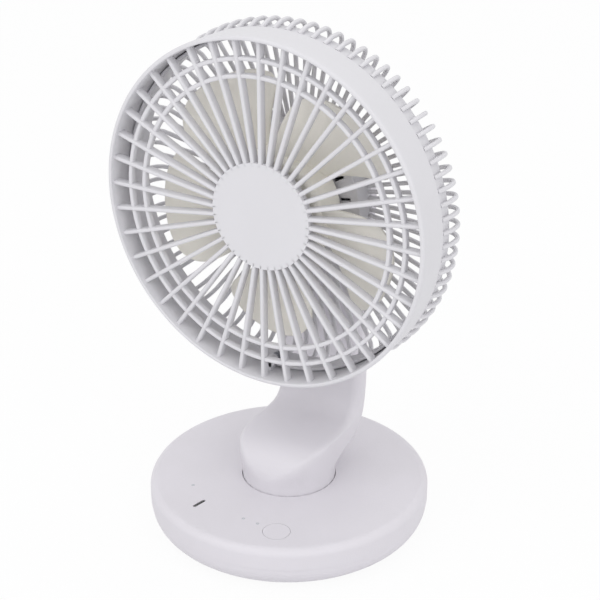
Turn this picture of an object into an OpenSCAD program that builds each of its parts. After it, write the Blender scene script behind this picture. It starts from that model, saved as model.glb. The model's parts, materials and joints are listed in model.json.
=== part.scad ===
// Rechargeable desk fan: a round weighted base, a swivelling S-shaped neck and a tilting round head.
// Millimetres. +Z is up, the fan blows towards -Y, and the origin is under the middle of the base.

/* [Base] */
// Diameter of the base
base_d = 160; // [150:1:200]
// Height of the base's flat top above the table
base_h = 27.5; // [27:0.5:34]
// Radius of the rounded top edge
base_top_fillet = 4.7; // [3:0.1:6]
// Radius of the rounded bottom edge
base_low_fillet = 12.5; // [8:0.5:13]
// Height of the seam between the tray and the cover
base_seam_z = 15; // [14:0.5:17]
// Wall of the base shells
base_wall = 2.2; // [1.8:0.1:2.6]

/* [Neck] */
// Diameter of the neck's round foot
neck_d = 53.6; // [50:0.2:56]
// Height of the seat where the neck bends back
shoulder_z = 54; // [52:0.5:64]
// Radius of the rounded front of the shoulder
shoulder_r = 20; // [14:0.5:22]
// Distance of the neck's back face behind the swivel axis
neck_back_y = 46.8; // [44:0.2:52]
// Thickness of the upright part of the neck
slab_t = 12.4; // [11:0.2:14]
// Rounding of the upright's long edges
slab_edge_r = 5.5; // [4:0.5:6]
// Wall of the neck shells
neck_wall = 2.2; // [1.8:0.1:2.6]

/* [Head] */
// Height of the fan's axis
head_z = 197; // [190:1:225]
// Distance of the front rim ahead of the swivel axis
rim_y = 28.6; // [26:0.2:32]
// Outer diameter of the front rim
rim_d = 193.4; // [186:0.2:210]
// Depth of the hoop round the front grille
hoop_depth = 22; // [20:0.5:26]
// Wall of the hoop
hoop_wall = 2.4; // [2:0.1:3]
// Number of ribs in the front grille
front_ribs = 40; // [32:1:48]
// Width of a front rib
front_rib_w = 2.3; // [1.8:0.1:2.8]
// Depth of a front rib
front_rib_depth = 5.5; // [4:0.5:6]
// Diameter of the plain disc in the middle of the grille
disc_d = 59; // [52:1:64]
// Mean radius of the inner grille ring
ring_1_r = 75; // [68:1:76]
// Mean radius of the outer grille ring
ring_2_r = 84; // [80:1:86]
// Number of spokes in the rear grille
rear_spokes = 80; // [64:4:84]
// Width of a rear spoke
rear_spoke_w = 2.3; // [1.8:0.1:2.6]
// Depth of the rear band behind the hoop
rear_band = 9.5; // [6:0.5:11]
// Depth of the rear grille's back behind the rim
rear_depth = 43.4; // [42:0.2:46]

/* [Impeller] */
// Diameter over the blade tips
blade_d = 148; // [130:1:156]
// Number of blades
blade_count = 5; // [3:1:6]
// Diameter of the hub
hub_d = 64; // [60:1:66]
// Thickness of a blade
blade_t = 1.6; // [1.2:0.1:2]

/* [Controls] */
// Diameter of the power button
button_d = 15; // [12:0.5:16]
// Travel of the power button
button_travel = 0.8; // [0.4:0.1:1]
// Length of the dark indicator window
window_l = 9; // [7:0.5:10]
// Width of the dark indicator window
window_w = 2.2; // [1.8:0.1:2.6]

/* [Swing drive] */
// Module of the swing gears
gear_module = 1; // [0.8:0.05:1]
// Teeth on the swing gear
gear_teeth = 60; // [60:1:60]
// Teeth on the pinion
pinion_teeth = 15; // [15:1:15]

/* [Hidden] */
$fn = 72;

shell_white = [0.86, 0.85, 0.88];
grille_white = [0.87, 0.87, 0.88];
blade_ivory = [0.83, 0.82, 0.76];
steel = [0.7, 0.71, 0.73];
copper = [0.72, 0.42, 0.22];
board_green = [0.1, 0.35, 0.2];
dark = [0.06, 0.06, 0.07];

overlap = 0.2; // how far one feature of a piece runs into the next
gap = 0.3; // clearance between pieces that lie beside each other
running = 0.05; // radial clearance of a running fit

// --- base levels and radii
base_r = base_d / 2;
foot_h = 1;
tray_r = base_r - 0.4;
cover_in_z = base_h - base_wall;
floor_z = foot_h + base_wall;
lip_t = 1.2;
lip_h = 2;
neck_r = neck_d / 2;
neck_hole_r = neck_r + gap;
collar_h = 2;

foot_r = 6;
foot_ring_r = 0.72 * base_r;
screw_r = 1.5;
boss_r = 3.4;
base_screw_ring_r = 66;
base_screw_angles = [45, 135, 225, 315];
base_screw_head_r = 2.8;

// --- swivel and swing drive, from the bottom up
post_r = 10;
post_bore_r = 6.5;
hub_bottom_z = 9;
gear_z = 13.9;
gear_t = 4;
flange_r = 31;
flange_t = 2.5;
flange_z = gear_z + gear_t;
flange_top_z = flange_z + flange_t;
clip_t = 0.8;
clip_z = flange_top_z - 2 + running;
clip_r = 12.6;
clip_seat_r = clip_r + 0.6;
groove_r = post_r - 1;
post_top_z = clip_z + clip_t + 0.8;
addendum = 0.8 * gear_module;
dedendum = 1.05 * gear_module;
gear_backlash = 0.1;
gear_centre = gear_module * (gear_teeth + pinion_teeth) / 2;
pinion_r = gear_module * pinion_teeth / 2;
swing_motor_r = 13;
swing_motor_top_z = gear_z - 1.2;
swing_shaft_r = 2;

// --- controls, placed as distance from the axis and angle from the front
button_at = [61.5, 25];
window_at = [60.2, -25.3];
window_turn = -11.4;
pin_r = 0.9;
pin_places = [[54.5, 4], [56.1, 13.5], [56.6, -44]];
board_z = 17;
board_t = 1.6;
board_r = [46, 68];
board_half_angle = 47;
button_flange_t = 1.2;
button_flange_z = cover_in_z - 0.4 - button_flange_t;
switch_h = 2;
plunger_r = 1.6;
plunger_len = 2.4;
socket_w = 9;
socket_h = 3.2;
socket_z = 19;
socket_len = 7.5;
battery_r = 9.2;
battery_len = 65;
battery_x = 50.5;
battery_z = 15.4;
ballast_t = 2.5;
ballast_r = 60;

// --- neck
slab_y = neck_back_y - slab_t / 2;
cover_depth = 4;
cover_split = slab_t / 2 - cover_depth;
cover_low_z = shoulder_z + 4;
barrel_r = 11;
fork_half = 14.4;
slot_drop = 13;
cover_top_z = head_z - 24;
neck_bottom_z = flange_top_z;
neck_screw_x = 17;
neck_screw_z = [85, 150];
neck_boss_r = 3;
neck_section_steps = 6;
spindle_screw_ring_r = 20;
bolt_r = 3;
cap_r = 7;
cap_t = 1.4;
cap_recess = 6.5;
wire_r = 1.8;

// --- head: local depth is measured backwards from the rim's front edge
rim_r = rim_d / 2;
hoop_back_r = rim_r - 0.9;
lip_out = 1;
rib_front = 1.4;
ring_front = 2.2;
ring_w = 2.3;
ring_depth = 4;
disc_r = disc_d / 2;
disc_t = 2;
grille_hub_r = disc_r - 0.8;
grille_hub_back = rib_front + front_rib_depth + 0.6;
rear_ring_t = 1.8;
rear_ring_front = hoop_depth - 8;
spoke_t = 2.4;
corner_r = 9;
rear_out_r = rim_r + 1.3;
housing_r = 42;
housing_front = 32.5;
housing_wall = 2.2;
back_dish = 1.5;
dome_back = rear_depth + 10;
dome_back_r = 26;
knuckle_half = 13.4;
knuckle_r = 10.5;
web_half = 7.5;
pivot_depth = slab_y + rim_y;

// --- motor
shaft_r = 2;
bearing_r = 4.5;
bearing_t = 4;
tube_r = 6.5;
bracket_r = 28.4;
bracket_screw_ring_r = 24.6;
bracket_t = 2.5;
stator_r = 17;
stator_t = 9;
stator_slots = 9;
magnet_r = [17.6, 19.8];
rotor_r = 21;
rotor_front = 13;
rotor_back = 29;
hub_r = hub_d / 2;
hub_front = 10.5;
hub_back = 30;
hub_wall = 2;
blade_r = blade_d / 2;
blade_mid = 20;
blade_half_depth = 8.2;
blade_root_r = hub_r - 1;
blade_root_angle = 61.5;
blade_tip_angle = 46.5;
blade_root_width = 50;
blade_tip_width = 57;

// ---------- helpers ----------

// Points on an arc of a circle, in degrees
function arc(c, r, a0, a1, n = 10) =
  [for (i = [0:n]) c + r * [cos(a0 + (a1 - a0) * i / n), sin(a0 + (a1 - a0) * i / n)]];

// Corner points of a rectangle with round corners, centred on the origin
function round_rect(w, h, r, n = 6) = concat(
  arc([w / 2 - r, h / 2 - r], r, 0, 90, n),
  arc([r - w / 2, h / 2 - r], r, 90, 180, n),
  arc([r - w / 2, r - h / 2], r, 180, 270, n),
  arc([w / 2 - r, r - h / 2], r, 270, 360, n)
);

// A place on the base, from its distance and its angle from the front
function on_base(at, z) = [at[0] * sin(at[1]), -at[0] * cos(at[1]), z];

// Turns children that are drawn along +Z so that they run backwards from the rim
module in_head() {
  translate([0, -rim_y, head_z]) rotate([-90, 0, 0]) children();
}

module tube(r_out, r_in, h) {
  difference() {
    cylinder(r = r_out, h = h);
    translate([0, 0, -1]) cylinder(r = r_in, h = h + 2);
  }
}

// A countersunk or pan screw that points along +Z, with its head's face at z = 0
module screw(len, r = screw_r, head_r = 2.6, head_h = 1.6) {
  difference() {
    cylinder(r = head_r, h = head_h);
    translate([0, 0, head_h / 4]) cube([head_r * 1.3, 0.7, head_h], center = true);
    translate([0, 0, head_h / 4]) cube([0.7, head_r * 1.3, head_h], center = true);
  }
  translate([0, 0, head_h - overlap]) cylinder(r = r, h = len - head_h + overlap);
}

// Involute of a base circle, as a polar angle in degrees at radius r
function involute_angle(r, rb) =
  let (t = sqrt(max(0, pow(r / rb, 2) - 1))) (t * 180 / PI) - atan(t);

// Outline of one gear tooth, from its root to its tip and back
function tooth(teeth, m, n = 4) =
  let (
    rp = m * teeth / 2,
    rb = rp * cos(20),
    ra = rp + addendum,
    rr = rp - dedendum,
    half = 90 / teeth - gear_backlash / 2 / rp * 180 / PI,
    at_pitch = involute_angle(rp, rb),
    r0 = max(rr, rb),
    flank = [for (i = [0:n]) let (r = r0 + (ra - r0) * i / n) [r, half + at_pitch - involute_angle(r, rb)]]
  )
  concat(
    [[rr, -half - at_pitch]],
    [for (f = flank) [f[0], -f[1]]],
    [for (i = [n:-1:0]) flank[i]],
    [[rr, half + at_pitch]]
  );

module gear_2d(teeth, m) {
  polygon([
    for (k = [0:teeth - 1], q = tooth(teeth, m))
      q[0] * [cos(q[1] + k * 360 / teeth), sin(q[1] + k * 360 / teeth)]
  ]);
}

// ---------- base ----------

module base_screw_places() {
  for (a = base_screw_angles) rotate([0, 0, a]) translate([base_screw_ring_r, 0, 0]) children();
}

module foot_places() {
  for (a = [0:90:270]) rotate([0, 0, a]) translate([foot_ring_r, 0, 0]) children();
}

module base_tray() {
  low = base_low_fillet;
  inner = low - base_wall;
  seam_r = base_r - base_wall - 0.15;
  color(shell_white) difference() {
    union() {
      rotate_extrude() polygon(concat(
        [[0, foot_h]],
        arc([tray_r - low, foot_h + low], low, 270, 360),
        [[tray_r, base_seam_z], [seam_r, base_seam_z], [seam_r, base_seam_z + lip_h],
         [seam_r - lip_t, base_seam_z + lip_h], [seam_r - lip_t, foot_h + low]],
        arc([seam_r - lip_t - inner, foot_h + low], inner, 360, 270),
        [[0, floor_z]]
      ));
      translate([0, 0, floor_z - overlap]) cylinder(r = post_r, h = post_top_z - floor_z + overlap);
      translate([0, 0, floor_z - overlap]) cylinder(r = post_r + 4, h = hub_bottom_z - floor_z - gap + overlap);
      base_screw_places() translate([0, 0, floor_z - overlap]) cylinder(r = boss_r, h = 8);
    }
    translate([0, 0, floor_z]) cylinder(r = post_bore_r, h = post_top_z);
    translate([0, 0, floor_z + 1]) rotate([90, 0, 0]) cylinder(r = 3.6, h = post_r + 10);
    translate([0, 0, clip_z]) tube(post_r + 1, groove_r, clip_t + 0.1);
    foot_places() translate([0, 0, foot_h - 1]) cylinder(r = foot_r, h = 1 + 1);
    base_screw_places() {
      translate([0, 0, foot_h - 1]) cylinder(r = screw_r + 0.15, h = 20);
      translate([0, 0, foot_h - 1]) cylinder(r = base_screw_head_r + 0.3, h = 3);
    }
  }
}

module base_cover() {
  fillet = base_top_fillet;
  inner = fillet - base_wall;
  color(shell_white) difference() {
    union() {
      rotate_extrude() polygon(concat(
        [[neck_hole_r, cover_in_z - collar_h], [neck_hole_r + base_wall, cover_in_z - collar_h],
         [neck_hole_r + base_wall, cover_in_z]],
        arc([base_r - fillet, base_h - fillet], inner, 90, 0),
        [[base_r - base_wall, base_seam_z], [base_r, base_seam_z]],
        arc([base_r - fillet, base_h - fillet], fillet, 0, 90),
        [[neck_hole_r, base_h]]
      ));
      base_screw_places() translate([0, 0, floor_z + 8 + gap])
        cylinder(r = boss_r, h = cover_in_z - floor_z - 8 - gap + overlap);
    }
    base_screw_places() translate([0, 0, floor_z]) cylinder(r = screw_r - 0.1, h = 18);
    translate(on_base(button_at, 0)) cylinder(r = button_d / 2 + 0.2, h = base_h + 1);
    translate(on_base(window_at, cover_in_z - 1)) rotate([0, 0, window_turn])
      window_block(window_l, window_w, base_wall + 2);
    for (p = pin_places) translate(on_base(p, cover_in_z - 1)) cylinder(r = pin_r + 0.1, h = base_wall + 2);
    translate([0, base_r - base_wall - 1, socket_z]) rotate([-90, 0, 0])
      linear_extrude(base_wall + 2) polygon(round_rect(socket_w + 2 * gap, socket_h + 2 * gap, 1.7));
  }
}

// A slot-shaped block that runs front to back
module window_block(l, w, h) {
  linear_extrude(h) polygon(round_rect(w, l, w / 2 - 0.01));
}

module rubber_feet() {
  color(dark) foot_places() cylinder(r = foot_r - gap / 2, h = foot_h + 0.9);
}

module base_screws() {
  color(steel) base_screw_places() translate([0, 0, foot_h + 0.3])
    screw(14, screw_r - 0.15, base_screw_head_r);
}

module ballast_plate() {
  color(steel) translate([0, 0, floor_z + 0.05]) difference() {
    cylinder(r = ballast_r, h = ballast_t);
    translate([0, 0, -1]) {
      cylinder(r = post_r + 4.5, h = ballast_t + 2);
      base_screw_places() cylinder(r = boss_r + 0.5, h = ballast_t + 2);
      translate([-9, -ballast_r, 0]) cube([18, ballast_r, ballast_t + 2]);
    }
  }
}

module battery_cells() {
  for (side = [-1, 1]) translate([side * battery_x, 0, battery_z]) rotate([90, 0, 0]) {
    color([0.2, 0.45, 0.75]) translate([0, 0, -battery_len / 2]) cylinder(r = battery_r, h = battery_len - 1.5);
    color(steel) translate([0, 0, battery_len / 2 - 1.6]) cylinder(r = 3, h = 1.6);
  }
}

module battery_holders() {
  wall = 1.4;
  long = battery_len + 2 * wall + 1.2;
  low = floor_z + ballast_t + 0.1;
  color(dark) for (side = [-1, 1]) translate([side * battery_x, 0, 0]) difference() {
    translate([-battery_r - wall, -long / 2, low]) cube([2 * (battery_r + wall), long, 9]);
    translate([0, 0, battery_z]) rotate([90, 0, 0])
      cylinder(r = battery_r + 0.2, h = battery_len + 1.2, center = true);
    translate([0, 0, battery_z + 5]) cube([2 * battery_r + 0.4, battery_len + 1.2, 10], center = true);
  }
}

module board_outline() {
  a = board_half_angle;
  polygon(concat(
    arc([0, 0], board_r[0], 270 - a, 270 + a, 16),
    arc([0, 0], board_r[1], 270 + a, 270 - a, 20)
  ));
}

module control_board() {
  color(board_green) difference() {
    translate([0, 0, board_z]) linear_extrude(board_t) board_outline();
    base_screw_places() translate([0, 0, board_z - 1]) cylinder(r = boss_r + 0.4, h = board_t + 2);
  }
}

module board_components() {
  top = board_z + board_t;
  color([0.85, 0.85, 0.8]) for (p = pin_places) translate(on_base(p, top + 0.4)) cube([2, 1.4, 0.8], center = true);
  color([0.85, 0.85, 0.8]) translate(on_base(window_at, top + 0.4)) rotate([0, 0, window_turn])
    cube([1.4, 6, 0.8], center = true);
  color(dark) translate([-8, -62, top]) cube([9, 7, 1.4]);
  color(dark) translate([30, -50, top]) cube([5, 4, 1.2]);
  color([0.9, 0.88, 0.8]) translate([-6, -52, top]) cube([8, 4, 4.2]);
  // standoffs under the board
  color(shell_white) for (a = [-30, 0, 30]) translate(on_base([58, a], floor_z + (a == 0 ? 0.05 : ballast_t + 0.1)))
    cylinder(r = 2, h = board_z - floor_z - (a == 0 ? 0.05 : ballast_t + 0.1));
}

module power_button() {
  stem_z = board_z + board_t + switch_h + 0.9;
  color(shell_white) translate(on_base(button_at, 0)) {
    translate([0, 0, button_flange_z]) cylinder(r = button_d / 2, h = base_h - button_flange_z);
    translate([0, 0, button_flange_z]) cylinder(r = button_d / 2 + 1.2, h = button_flange_t);
    translate([0, 0, stem_z]) cylinder(r = 1.5, h = button_flange_z - stem_z + overlap);
  }
}

module switch_body() {
  top = board_z + board_t;
  color(dark) translate(on_base(button_at, top)) difference() {
    translate([-3, -3, 0]) cube([6, 6, switch_h]);
    translate([0, 0, 0.3]) cylinder(r = plunger_r + running, h = switch_h);
  }
}

module switch_plunger() {
  top = board_z + board_t + switch_h + 0.9;
  color([0.9, 0.9, 0.9]) translate(on_base(button_at, top - 1.3)) cylinder(r = plunger_r, h = 1.3);
}

module indicator_window() {
  color([0.04, 0.04, 0.05]) translate(on_base(window_at, 0)) rotate([0, 0, window_turn]) {
    translate([0, 0, cover_in_z - 0.9]) window_block(window_l + 2, window_w + 2, 0.9);
    translate([0, 0, cover_in_z - overlap]) window_block(window_l - 0.2, window_w - 0.2, base_wall - 0.5 + overlap);
  }
}

module indicator_pins() {
  low = board_z + board_t + 1.1;
  color([0.9, 0.92, 0.92]) for (p = pin_places) translate(on_base(p, low)) {
    cylinder(r = pin_r, h = base_h - low);
    translate([0, 0, cover_in_z - low - 1]) cylinder(r = pin_r + 0.8, h = 1);
  }
}

module usb_socket() {
  back = base_r - base_wall - gap;
  color(steel) translate([0, back, socket_z]) rotate([90, 0, 0]) difference() {
    linear_extrude(socket_len) polygon(round_rect(socket_w, socket_h, socket_h / 2 - 0.01));
    translate([0, 0, -1]) linear_extrude(socket_len) polygon(round_rect(socket_w - 0.6, socket_h - 0.6, 1.29));
  }
  color(dark) translate([-3.3, back - socket_len + 0.9, socket_z - 0.35]) cube([6.6, socket_len - 2, 0.7]);
  color(board_green) translate([-9, back - 17, socket_z - socket_h / 2 - 1.6]) cube([18, 15.4, 1.6]);
  color(shell_white) for (side = [-1, 1])
    translate([side * 6.5, back - 14, floor_z + 0.05]) cylinder(r = 2, h = socket_z - socket_h / 2 - 1.6 - floor_z - 0.05);
}

module swing_motor() {
  low = floor_z + ballast_t + 0.1;
  color(steel) translate([0, gear_centre, low]) difference() {
    cylinder(r = swing_motor_r, h = swing_motor_top_z - low);
    translate([0, 0, 1.5]) cylinder(r = swing_shaft_r + running, h = swing_motor_top_z);
  }
}

module swing_shaft() {
  low = floor_z + ballast_t + 1.8;
  color(steel) translate([0, gear_centre, low]) cylinder(r = swing_shaft_r, h = gear_z + gear_t - low);
}

module swing_pinion() {
  color([0.92, 0.9, 0.84]) translate([0, gear_centre, gear_z + 0.1]) difference() {
    linear_extrude(gear_t - 0.4) rotate([0, 0, 270 + 180 / pinion_teeth]) gear_2d(pinion_teeth, gear_module);
    translate([0, 0, -1]) cylinder(r = swing_shaft_r + 0.01, h = gear_t + 2);
  }
}

module swivel_clip() {
  color(steel) translate([0, 0, clip_z]) difference() {
    tube(clip_r, groove_r + running, clip_t);
    translate([0, 0, -1]) rotate([0, 0, 225]) cube([clip_r + 1, 4, clip_t + 2]);
  }
}

// ---------- neck ----------

module spindle_screw_places() {
  for (a = [90, 210, 330]) rotate([0, 0, a]) translate([spindle_screw_ring_r, 0, 0]) children();
}

module neck_spindle() {
  color([0.88, 0.86, 0.8]) difference() {
    union() {
      translate([0, 0, hub_bottom_z]) cylinder(r = post_r + 3.5, h = flange_z - hub_bottom_z + overlap);
      translate([0, 0, gear_z]) linear_extrude(gear_t + overlap) rotate([0, 0, 90]) gear_2d(gear_teeth, gear_module);
      translate([0, 0, flange_z]) cylinder(r = flange_r, h = flange_t);
    }
    translate([0, 0, hub_bottom_z - 1]) cylinder(r = post_r + running, h = 20);
    translate([0, 0, clip_z - running]) cylinder(r = clip_seat_r, h = 5);
    spindle_screw_places() {
      translate([0, 0, hub_bottom_z]) cylinder(r = screw_r + 0.15, h = 20);
      translate([0, 0, hub_bottom_z]) cylinder(r = 2.9, h = flange_z - hub_bottom_z);
    }
  }
}

module spindle_screws() {
  color(steel) spindle_screw_places() translate([0, 0, flange_z - 1.7]) screw(11, screw_r - 0.15);
}

// Stations of the neck from its foot to its top. Each gives the front edge's y and z, the back edge's y and z,
// and the size of the back corners across and along the section
neck_stations = concat(
  [[-neck_r, flange_top_z, neck_r, flange_top_z, neck_r, neck_r],
   [-neck_r, shoulder_z - shoulder_r - 4, neck_r, shoulder_z - 23, neck_r, neck_r],
   [-neck_r, shoulder_z - shoulder_r, neck_r + 0.05, shoulder_z - 18.5, neck_r, neck_r - 1]],
  [for (i = [1:6]) let (a = 180 - 15 * i)
    [-neck_r + shoulder_r * (1 + cos(a)), shoulder_z - shoulder_r * (1 - sin(a)),
     neck_r + [0.3, 0.9, 1.9, 3.2, 4.7, 6.2][i - 1], shoulder_z - [15.8, 14.2, 13, 12, 11.1, 10.1][i - 1],
     [20, 14, 10, 8, 7, 6.4][i - 1], [19, 14, 10, 8, 7, 6.4][i - 1]]],
  [for (q = [[-32.5, 0.2, -12.1, -8.9], [-24.5, 0.4, -10.5, -7.7], [-17.5, 0.8, -8.8, -6.3], [-12, 1.6, -7.3, -4.8],
             [-8, 3.3, -5.8, -2.8], [-5.2, 5.8, -4.6, -0.3], [-3.2, 9, -3.4, 3.2], [-1.7, 13, -2.4, 7.7],
             [-0.7, 17.5, -1.6, 12.7], [-0.2, 23, -0.9, 18.7], [0, 29, -0.4, 26.2], [0, 36, 0, 36]])
    [neck_back_y - slab_t + q[0], shoulder_z + q[1], neck_back_y + q[2], shoulder_z + q[3], slab_edge_r, slab_edge_r]],
  [[neck_back_y - slab_t, head_z, neck_back_y, head_z, slab_edge_r, slab_edge_r]]
);

// A closed section through a station: a rectangle whose front and back corners are quarter ellipses
function neck_section(s, inset) =
  let (
    front = [s[0], s[1]], back = [s[2], s[3]], chord = norm(back - front), dir = (back - front) / chord,
    w = neck_r - inset, h = chord / 2 - inset, mid = (front + back) / 2,
    fy = min(0, s[0]),
    fx = max(slab_edge_r, neck_r - sqrt(max(0, neck_r * neck_r - fy * fy))) - inset,
    fh = max(slab_edge_r, -fy) - inset,
    bx = s[4] - inset, bh = s[5] - inset, n = neck_section_steps,
    flat = concat(
      [for (i = [0:n]) let (a = 90 * i / n) [w - bx + bx * cos(a), h - bh + bh * sin(a)]],
      [for (i = [0:n]) let (a = 90 + 90 * i / n) [bx - w + bx * cos(a), h - bh + bh * sin(a)]],
      [for (i = [0:n]) let (a = 180 + 90 * i / n) [fx - w + fx * cos(a), fh - h + fh * sin(a)]],
      [for (i = [0:n]) let (a = 270 + 90 * i / n) [w - fx + fx * cos(a), fh - h + fh * sin(a)]]
    )
  )
  [for (p = flat) [p[0], mid[0] + dir[0] * p[1], mid[1] + dir[1] * p[1]]];

// The neck as one closed skin, shrunk by the inset, up to the given height
module neck_loft(inset, top_z) {
  last = len(neck_stations) - 1;
  stations = [for (i = [0:last]) i < last ? neck_stations[i] :
    [neck_stations[i][0], top_z, neck_stations[i][2], top_z, neck_stations[i][4], neck_stations[i][5]]];
  rings = [for (s = stations) neck_section(s, inset)];
  n = len(rings[0]);
  points = [for (r = rings, p = r) p];
  walls = [for (i = [0:last - 1], k = [0:n - 1], t = [0, 1])
    let (k1 = (k + 1) % n, a = i * n + k, b = i * n + k1, c = (i + 1) * n + k1, d = (i + 1) * n + k)
    t == 0 ? [a, c, b] : [a, d, c]];
  polyhedron(points, concat(walls, [[for (k = [0:n - 1]) k]], [[for (k = [n - 1:-1:0]) last * n + k]]));
}

// The block at the back of the neck that belongs to the rear cover
module cover_block(margin) {
  translate([-neck_d, slab_y + cover_split - margin, cover_low_z - margin])
    cube([2 * neck_d, 2 * slab_t, cover_top_z - cover_low_z + 2 * margin]);
}

module hinge_barrel() {
  translate([-neck_r, slab_y, head_z]) rotate([0, 90, 0]) cylinder(r = barrel_r, h = neck_d);
}

module hinge_cuts() {
  // slot for the knuckle
  translate([-fork_half, slab_y - 20, head_z - slot_drop]) cube([2 * fork_half, 40, slot_drop + 20]);
  // bore for the bolt, with a recess for its head and nut on each side
  translate([-neck_r - 1, slab_y, head_z]) rotate([0, 90, 0]) {
    cylinder(r = bolt_r + running, h = neck_d + 2);
    cylinder(r = cap_r + 0.15, h = cap_recess + 1);
    translate([0, 0, neck_d - cap_recess + 1]) cylinder(r = cap_r + 0.15, h = cap_recess + 1);
  }
}

module neck_boss_places() {
  for (x = [-neck_screw_x, neck_screw_x], z = neck_screw_z) translate([x, slab_y, z]) rotate([-90, 0, 0]) children();
}

module neck_shell() {
  cavity_top = head_z - slot_drop - 6;
  color(shell_white) difference() {
    union() {
      difference() {
        union() {
          neck_loft(0, head_z);
          hinge_barrel();
        }
        neck_loft(neck_wall, cavity_top);
        translate([0, 0, flange_top_z - 1]) cylinder(r = neck_r - neck_wall, h = 2);
        cover_block(0);
      }
      neck_boss_places() translate([0, 0, -slab_t / 2 + 1]) cylinder(r = neck_boss_r, h = slab_t / 2 - 1 + cover_split);
      spindle_screw_places() translate([0, 0, neck_bottom_z]) cylinder(r = 3, h = 12);
      spindle_screw_places() translate([-1, -1, neck_bottom_z]) cube([neck_r - 1 - spindle_screw_ring_r, 2, 8]);
    }
    neck_boss_places() translate([0, 0, -2]) cylinder(r = screw_r - 0.1, h = 20);
    spindle_screw_places() translate([0, 0, neck_bottom_z - 1]) cylinder(r = screw_r - 0.1, h = 11);
    hinge_cuts();
  }
}

module neck_cover() {
  color(shell_white) difference() {
    union() {
      difference() {
        intersection() {
          neck_loft(0, head_z);
          cover_block(-0.15);
        }
        intersection() {
          neck_loft(neck_wall, head_z);
          cover_block(-neck_wall);
        }
      }
      neck_boss_places() translate([0, 0, cover_split + 0.15]) cylinder(r = neck_boss_r, h = cover_depth - 0.6);
    }
    neck_boss_places() {
      cylinder(r = screw_r + 0.15, h = 20);
      translate([0, 0, slab_t / 2 - 1.7]) cylinder(r = 2.9, h = 5);
    }
  }
}

module neck_screws() {
  color(steel) neck_boss_places() translate([0, 0, slab_t / 2 - 0.05]) rotate([180, 0, 0]) screw(8, screw_r - 0.15);
}

module hinge_bolt() {
  head_h = 3;
  color(steel) translate([-neck_r + cap_recess - head_h, slab_y, head_z]) rotate([0, 90, 0]) {
    cylinder(r = 5.5, h = head_h, $fn = 6);
    translate([0, 0, head_h - overlap]) cylinder(r = bolt_r, h = neck_d - 2 * cap_recess + 4 + overlap);
  }
}

module hinge_nut() {
  color(steel) translate([neck_r - cap_recess, slab_y, head_z]) rotate([0, 90, 0]) difference() {
    cylinder(r = 5.5, h = 3, $fn = 6);
    translate([0, 0, -1]) cylinder(r = bolt_r + running, h = 6);
  }
}

module hinge_washers() {
  t = fork_half - knuckle_half - 0.2;
  color([0.3, 0.3, 0.32]) for (x = [-fork_half + 0.1, knuckle_half + 0.1])
    translate([x, slab_y, head_z]) rotate([0, 90, 0]) tube(8.5, bolt_r + running, t);
}

module hinge_caps() {
  color(shell_white) for (side = [-1, 1])
    translate([side * (neck_r - cap_t / 2 - 0.2), slab_y, head_z]) rotate([0, 90, 0])
      cylinder(r = cap_r, h = cap_t, center = true);
}

// Points of the cable inside the neck, from the base to the hinge; it lies against the rear cover
wire_y = slab_y + cover_split - wire_r;
wire_low_z = shoulder_z - 9.5;
wire_path = [
  [0, 0, hub_bottom_z + 1], [0, 0, flange_z], [0, 0.3, wire_low_z - 14], [0, 1.6, wire_low_z - 8],
  [0, 5, wire_low_z - 3], [0, 11, wire_low_z - 0.4], [0, wire_y - 23, wire_low_z + 0.6],
  [0, wire_y - 15, wire_low_z + 3], [0, wire_y - 9, wire_low_z + 7.5], [0, wire_y - 4.6, wire_low_z + 14],
  [0, wire_y - 1.6, wire_low_z + 22], [0, wire_y - 0.3, wire_low_z + 31], [0, wire_y, neck_screw_z[0] + 6],
  [0, wire_y, neck_screw_z[1]], [0, wire_y, cover_top_z - 6]
];

module neck_wiring() {
  color(dark) cable(wire_path, wire_r);
}

// A round cable along points that lie in the plane x = 0, as one closed skin
module cable(path, r, sides = 8) {
  n = len(path);
  dir = [for (i = [0:n - 1])
    let (v = path[min(i + 1, n - 1)] - path[max(i - 1, 0)]) v / norm(v)];
  ring = [for (i = [0:n - 1], k = [0:sides - 1])
    let (a = k * 360 / sides, up = cross(dir[i], [1, 0, 0]))
    path[i] + r * (cos(a) * [1, 0, 0] + sin(a) * up)];
  walls = [for (i = [0:n - 2], k = [0:sides - 1])
    let (k1 = (k + 1) % sides)
    [i * sides + k, i * sides + k1, (i + 1) * sides + k1, (i + 1) * sides + k]];
  polyhedron(ring, concat(walls, [[for (k = [sides - 1:-1:0]) k]], [[for (k = [0:sides - 1]) (n - 1) * sides + k]]));
}

// ---------- head ----------

module front_grille() {
  inner_r = rim_r - hoop_wall;
  color(grille_white) in_head() difference() {
    union() {
      // hoop, with a rounded front edge
      rotate_extrude($fn = 120) polygon(concat(
        [[inner_r, -lip_out + 0.6], [inner_r + 0.6, -lip_out]],
        arc([rim_r - 1.6, -lip_out + 1.6], 1.6, 270, 350, 5),
        [[rim_r, 2], [hoop_back_r, hoop_depth], [hoop_back_r - hoop_wall, hoop_depth], [inner_r, rib_front]]
      ));
      for (r = [ring_1_r, ring_2_r]) translate([0, 0, ring_front])
        tube(r + ring_w / 2, r - ring_w / 2, ring_depth);
      translate([0, 0, rib_front + disc_t]) cylinder(r = grille_hub_r, h = grille_hub_back - rib_front - disc_t);
      for (k = [0:front_ribs - 1]) rotate([0, 0, k * 360 / front_ribs])
        translate([grille_hub_r - 1, -front_rib_w / 2, rib_front])
          cube([inner_r - grille_hub_r + 2, front_rib_w, front_rib_depth]);
      grille_lug();
    }
    translate([0, 0, -1]) cylinder(r = disc_r + 0.1, h = rib_front + disc_t + 1);
    for (a = [0:120:240]) rotate([0, 0, a]) translate([15, 0, 0]) cylinder(r = 2.1, h = 20);
    translate([0, rim_r - 8, rear_ring_front - 4.2]) cylinder(r = screw_r - 0.1, h = 20);
  }
}

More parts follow.
